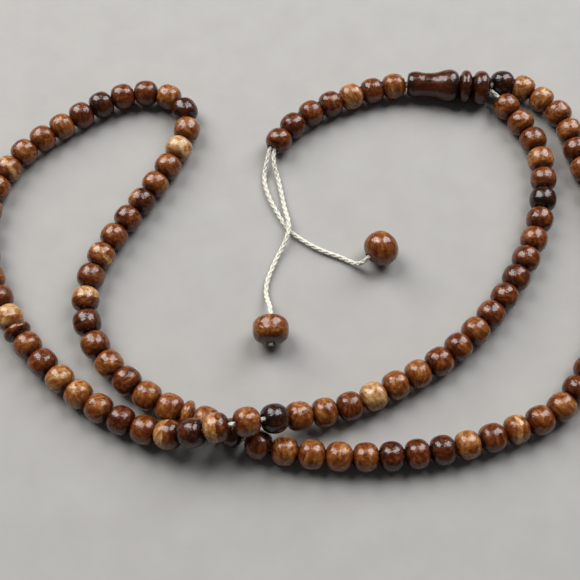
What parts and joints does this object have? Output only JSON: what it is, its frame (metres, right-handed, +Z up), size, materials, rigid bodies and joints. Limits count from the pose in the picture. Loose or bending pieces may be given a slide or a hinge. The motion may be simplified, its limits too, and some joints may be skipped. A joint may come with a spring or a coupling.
{
  "type": "mala prayer beads",
  "caption": "String of round turned wooden prayer beads with separator discs, a waisted leader, a beaded tail and two larger end beads, lying in a loose double loop.",
  "frame": {"origin": "centre of the wooden pieces' footprint box, on the surface the string lies on", "axes": "+X along the long side of the footprint, from the folded-in bight toward the leader; +Y from the crossing toward the leader; +Z up, away from the surface"},
  "size_m": [0.1982, 0.1331, 0.0162],
  "materials": {
    "bead_wood": "red-brown turned wood with visible grain under clear gloss lacquer",
    "dark_bead_wood": "very dark brown turned wood under clear gloss lacquer",
    "light_bead_wood": "light orange-tan turned wood under clear gloss lacquer",
    "disc_wood": "dark to mid brown polished wood",
    "cord": "off-white twisted cotton cord, matt",
    "leader_wood": "dark brown polished wood, gloss lacquer"
  },
  "bodies": {
    "loop": {"loop_cord": "cord", "section_2_run_1": "bead_wood", "section_2_run_2": "bead_wood", "section_2_run_3": "bead_wood", "section_3_run_1": "bead_wood", "section_3_run_2": "bead_wood", "section_3_run_3": "bead_wood"},
    "tail": {"tail_strand_lower": "cord", "tail_strand_upper": "cord"},
    "end_left": {"end_strand_left": "cord"},
    "end_right": {"end_strand_right": "cord"},
    "section_1_bead_01": {"section_1_bead_01": "bead_wood"},
    "section_1_bead_02": {"section_1_bead_02": "bead_wood"},
    "section_1_bead_03": {"section_1_bead_03": "bead_wood"},
    "section_1_bead_04": {"section_1_bead_04": "bead_wood"},
    "section_1_bead_05": {"section_1_bead_05": "bead_wood"},
    "section_1_bead_06": {"section_1_bead_06": "dark_bead_wood"},
    "section_1_bead_07": {"section_1_bead_07": "bead_wood"},
    "section_1_bead_08": {"section_1_bead_08": "bead_wood"},
    "section_1_bead_09": {"section_1_bead_09": "bead_wood"},
    "section_1_bead_10": {"section_1_bead_10": "bead_wood"},
    "section_1_bead_11": {"section_1_bead_11": "bead_wood"},
    "section_1_bead_12": {"section_1_bead_12": "bead_wood"},
    "section_1_bead_13": {"section_1_bead_13": "bead_wood"},
    "section_1_bead_14": {"section_1_bead_14": "bead_wood"},
    "section_1_bead_15": {"section_1_bead_15": "bead_wood"},
    "section_1_bead_16": {"section_1_bead_16": "bead_wood"},
    "section_1_bead_17": {"section_1_bead_17": "bead_wood"},
    "section_1_bead_18": {"section_1_bead_18": "light_bead_wood"},
    "section_1_bead_19": {"section_1_bead_19": "bead_wood"},
    "section_1_bead_20": {"section_1_bead_20": "bead_wood"},
    "section_1_bead_21": {"section_1_bead_21": "bead_wood"},
    "section_1_bead_22": {"section_1_bead_22": "dark_bead_wood"},
    "section_1_bead_23": {"section_1_bead_23": "bead_wood"},
    "section_1_bead_24": {"section_1_bead_24": "bead_wood"},
    "section_1_bead_25": {"section_1_bead_25": "dark_bead_wood"},
    "section_1_bead_26": {"section_1_bead_26": "bead_wood"},
    "section_1_bead_27": {"section_1_bead_27": "light_bead_wood"},
    "section_1_bead_28": {"section_1_bead_28": "dark_bead_wood"},
    "section_1_bead_29": {"section_1_bead_29": "bead_wood"},
    "section_1_bead_30": {"section_1_bead_30": "bead_wood"},
    "section_1_bead_31": {"section_1_bead_31": "bead_wood"},
    "section_1_bead_32": {"section_1_bead_32": "bead_wood"},
    "section_1_bead_33": {"section_1_bead_33": "bead_wood"},
    "separator_1": {"separator_1": "disc_wood"},
    "separator_2": {"separator_2": "disc_wood"},
    "ring_inner": {"ring_inner": "leader_wood"},
    "ring_outer": {"ring_outer": "leader_wood"},
    "leader": {"leader": "leader_wood"},
    "tail_bead_1": {"tail_bead_1": "light_bead_wood"},
    "tail_bead_2": {"tail_bead_2": "bead_wood"},
    "tail_bead_3": {"tail_bead_3": "light_bead_wood"},
    "tail_bead_4": {"tail_bead_4": "bead_wood"},
    "tail_bead_5": {"tail_bead_5": "bead_wood"},
    "tail_bead_6": {"tail_bead_6": "bead_wood"},
    "tail_bead_7": {"tail_bead_7": "bead_wood"},
    "end_bead_left": {"end_bead_left": "bead_wood"},
    "end_bead_right": {"end_bead_right": "bead_wood"}
  },
  "joints": [
    {"name": "leader_swing", "type": "hinge", "parent": "loop", "child": "tail", "pos_m": [0.0617, 0.05995, 0.0053], "axis": [0, 0, 1], "range_deg": [-6, 8]},
    {"name": "end_left_swing", "type": "hinge", "parent": "tail", "child": "end_left", "pos_m": [-0.0028, 0.0101, 0.0024], "axis": [0, 0, 1], "range_deg": [-25, 15]},
    {"name": "end_right_swing", "type": "hinge", "parent": "tail", "child": "end_right", "pos_m": [-0.0029, 0.0101, 0.00075], "axis": [0, 0, 1], "range_deg": [-20, 25]},
    {"name": "section_1_bead_01_spin", "type": "hinge", "parent": "loop", "child": "section_1_bead_01", "pos_m": [0.06706, 0.05374, 0.00409], "axis": [0.5321, -0.8448, -0.0563], "continuous": true},
    {"name": "section_1_bead_02_spin", "type": "hinge", "parent": "loop", "child": "section_1_bead_02", "pos_m": [0.07107, 0.04755, 0.00389], "axis": [0.555, -0.8318, 0.0029], "continuous": true},
    {"name": "section_1_bead_03_spin", "type": "hinge", "parent": "loop", "child": "section_1_bead_03", "pos_m": [0.07432, 0.04092, 0.0039], "axis": [0.3232, -0.9463, 0], "continuous": true},
    {"name": "section_1_bead_04_spin", "type": "hinge", "parent": "loop", "child": "section_1_bead_04", "pos_m": [0.07588, 0.03361, 0.0039], "axis": [0.0869, -0.9962, 0], "continuous": true},
    {"name": "section_1_bead_05_spin", "type": "hinge", "parent": "loop", "child": "section_1_bead_05", "pos_m": [0.07595, 0.02627, 0.0039], "axis": [-0.0683, -0.9977, 0], "continuous": true},
    {"name": "section_1_bead_06_spin", "type": "hinge", "parent": "loop", "child": "section_1_bead_06", "pos_m": [0.07503, 0.01903, 0.0039], "axis": [-0.1834, -0.983, 0], "continuous": true},
    {"name": "section_1_bead_07_spin", "type": "hinge", "parent": "loop", "child": "section_1_bead_07", "pos_m": [0.07326, 0.01195, 0.0039], "axis": [-0.3005, -0.9538, 0], "continuous": true},
    {"name": "section_1_bead_08_spin", "type": "hinge", "parent": "loop", "child": "section_1_bead_08", "pos_m": [0.07077, 0.00513, 0.0039], "axis": [-0.385, -0.9229, 0], "continuous": true},
    {"name": "section_1_bead_09_spin", "type": "hinge", "parent": "loop", "child": "section_1_bead_09", "pos_m": [0.06772, -0.00144, 0.0039], "axis": [-0.457, -0.8895, 0], "continuous": true},
    {"name": "section_1_bead_10_spin", "type": "hinge", "parent": "loop", "child": "section_1_bead_10", "pos_m": [0.06419, -0.00776, 0.0039], "axis": [-0.5176, -0.8556, 0], "continuous": true},
    {"name": "section_1_bead_11_spin", "type": "hinge", "parent": "loop", "child": "section_1_bead_11", "pos_m": [0.06021, -0.01381, 0.0039], "axis": [-0.5797, -0.8148, 0], "continuous": true},
    {"name": "section_1_bead_12_spin", "type": "hinge", "parent": "loop", "child": "section_1_bead_12", "pos_m": [0.05575, -0.01953, 0.0039], "axis": [-0.6492, -0.7607, 0], "continuous": true},
    {"name": "section_1_bead_13_spin", "type": "hinge", "parent": "loop", "child": "section_1_bead_13", "pos_m": [0.05085, -0.02486, 0.0039], "axis": [-0.7034, -0.7108, 0], "continuous": true},
    {"name": "section_1_bead_14_spin", "type": "hinge", "parent": "loop", "child": "section_1_bead_14", "pos_m": [0.04555, -0.02981, 0.0039], "axis": [-0.7572, -0.6532, 0], "continuous": true},
    {"name": "section_1_bead_15_spin", "type": "hinge", "parent": "loop", "child": "section_1_bead_15", "pos_m": [0.03978, -0.03426, 0.0039], "axis": [-0.8235, -0.5673, 0], "continuous": true},
    {"name": "section_1_bead_16_spin", "type": "hinge", "parent": "loop", "child": "section_1_bead_16", "pos_m": [0.03358, -0.03805, 0.0039], "axis": [-0.8806, -0.4739, 0], "continuous": true},
    {"name": "section_1_bead_17_spin", "type": "hinge", "parent": "loop", "child": "section_1_bead_17", "pos_m": [0.02722, -0.04142, 0.00389], "axis": [-0.8879, -0.46, -0.0039], "continuous": true},
    {"name": "section_1_bead_18_spin", "type": "hinge", "parent": "loop", "child": "section_1_bead_18", "pos_m": [0.02082, -0.04469, 0.00384], "axis": [-0.8926, -0.4508, -0.0094], "continuous": true},
    {"name": "section_1_bead_19_spin", "type": "hinge", "parent": "loop", "child": "section_1_bead_19", "pos_m": [0.01412, -0.04758, 0.00392], "axis": [-0.9391, -0.3423, 0.0306], "continuous": true},
    {"name": "section_1_bead_20_spin", "type": "hinge", "parent": "loop", "child": "section_1_bead_20", "pos_m": [0.00707, -0.04957, 0.00429], "axis": [-0.9781, -0.1957, 0.0712], "continuous": true},
    {"name": "section_1_bead_21_spin", "type": "hinge", "parent": "loop", "child": "section_1_bead_21", "pos_m": [-0.00008, -0.05115, 0.00581], "axis": [-0.9195, -0.2232, 0.3235], "continuous": true},
    {"name": "section_1_bead_22_spin", "type": "hinge", "parent": "loop", "child": "section_1_bead_22", "pos_m": [-0.00668, -0.05294, 0.00903], "axis": [-0.8124, -0.2485, 0.5275], "continuous": true},
    {"name": "section_1_bead_23_slide", "type": "slide", "parent": "loop", "child": "section_1_bead_23", "axis": [0.9429, 0.2314, -0.2395], "range_m": [0, 0.0004]},
    {"name": "section_1_bead_24_slide", "type": "slide", "parent": "loop", "child": "section_1_bead_24", "axis": [0.9662, 0.1617, 0.2006], "range_m": [0, 0.0005]},
    {"name": "section_1_bead_25_spin", "type": "hinge", "parent": "loop", "child": "section_1_bead_25", "pos_m": [-0.0288, -0.05718, 0.00957], "axis": [-0.8886, -0.0178, -0.4584], "continuous": true},
    {"name": "section_1_bead_26_spin", "type": "hinge", "parent": "loop", "child": "section_1_bead_26", "pos_m": [-0.03545, -0.05659, 0.00624], "axis": [-0.8854, 0.1733, -0.4313], "continuous": true},
    {"name": "section_1_bead_27_spin", "type": "hinge", "parent": "loop", "child": "section_1_bead_27", "pos_m": [-0.0423, -0.05459, 0.00421], "axis": [-0.9283, 0.3561, -0.1069], "continuous": true},
    {"name": "section_1_bead_28_spin", "type": "hinge", "parent": "loop", "child": "section_1_bead_28", "pos_m": [-0.04908, -0.05166, 0.00384], "axis": [-0.9001, 0.4357, 0.009], "continuous": true},
    {"name": "section_1_bead_29_spin", "type": "hinge", "parent": "loop", "child": "section_1_bead_29", "pos_m": [-0.05546, -0.04818, 0.00388], "axis": [-0.8541, 0.52, 0.0042], "continuous": true},
    {"name": "section_1_bead_30_spin", "type": "hinge", "parent": "loop", "child": "section_1_bead_30", "pos_m": [-0.06149, -0.04413, 0.0039], "axis": [-0.8043, 0.5943, 0], "continuous": true},
    {"name": "section_1_bead_31_spin", "type": "hinge", "parent": "loop", "child": "section_1_bead_31", "pos_m": [-0.06714, -0.0396, 0.0039], "axis": [-0.7555, 0.6552, 0], "continuous": true},
    {"name": "section_1_bead_32_spin", "type": "hinge", "parent": "loop", "child": "section_1_bead_32", "pos_m": [-0.07243, -0.03466, 0.0039], "axis": [-0.7056, 0.7086, 0], "continuous": true},
    {"name": "section_1_bead_33_spin", "type": "hinge", "parent": "loop", "child": "section_1_bead_33", "pos_m": [-0.07737, -0.02936, 0.0039], "axis": [-0.657, 0.7539, 0], "continuous": true},
    {"name": "separator_1_spin", "type": "hinge", "parent": "loop", "child": "separator_1", "pos_m": [-0.08078, -0.02517, 0.0039], "axis": [-0.573, 0.8195, 0], "continuous": true},
    {"name": "separator_2_spin", "type": "hinge", "parent": "loop", "child": "separator_2", "pos_m": [-0.03075, -0.05006, 0.0039], "axis": [0.9672, -0.2539, 0], "continuous": true},
    {"name": "ring_inner_spin", "type": "hinge", "parent": "tail", "child": "ring_inner", "pos_m": [0.05905, 0.06022, 0.0053], "axis": [-0.9952, 0.0977, 0.0003], "continuous": true},
    {"name": "ring_outer_spin", "type": "hinge", "parent": "tail", "child": "ring_outer", "pos_m": [0.05416, 0.06072, 0.00527], "axis": [-0.994, 0.1085, -0.0157], "continuous": true},
    {"name": "leader_spin", "type": "hinge", "parent": "tail", "child": "leader", "pos_m": [0.04374, 0.06171, 0.00478], "axis": [-0.9944, 0.0906, -0.0546], "continuous": true},
    {"name": "tail_bead_1_slide", "type": "slide", "parent": "tail", "child": "tail_bead_1", "axis": [0.9848, 0.1641, 0.0561], "range_m": [0, 0.0004]},
    {"name": "tail_bead_2_spin", "type": "hinge", "parent": "tail", "child": "tail_bead_2", "pos_m": [0.02414, 0.06014, 0.00389], "axis": [-0.9599, -0.2802, 0.0034], "continuous": true},
    {"name": "tail_bead_3_spin", "type": "hinge", "parent": "tail", "child": "tail_bead_3", "pos_m": [0.01726, 0.05779, 0.0039], "axis": [-0.9308, -0.3656, 0], "continuous": true},
    {"name": "tail_bead_4_spin", "type": "hinge", "parent": "tail", "child": "tail_bead_4", "pos_m": [0.0106, 0.05484, 0.0039], "axis": [-0.8961, -0.4439, 0], "continuous": true},
    {"name": "tail_bead_5_spin", "type": "hinge", "parent": "tail", "child": "tail_bead_5", "pos_m": [0.00426, 0.05124, 0.0039], "axis": [-0.8408, -0.5413, 0], "continuous": true},
    {"name": "tail_bead_6_spin", "type": "hinge", "parent": "tail", "child": "tail_bead_6", "pos_m": [-0.0015, 0.04647, 0.0039], "axis": [-0.6907, -0.7232, 0], "continuous": true},
    {"name": "tail_bead_7_spin", "type": "hinge", "parent": "tail", "child": "tail_bead_7", "pos_m": [-0.00599, 0.04062, 0.0039], "axis": [-0.5147, -0.8573, 0], "continuous": true},
    {"name": "end_bead_left_spin", "type": "hinge", "parent": "end_left", "child": "end_bead_left", "pos_m": [-0.008, -0.025, 0.00516], "axis": [0.03, -0.9996, 0], "continuous": true},
    {"name": "end_bead_right_spin", "type": "hinge", "parent": "end_right", "child": "end_bead_right", "pos_m": [0.0246, 0.0013, 0.0053], "axis": [0.7828, 0.6222, 0], "continuous": true}
  ]
}
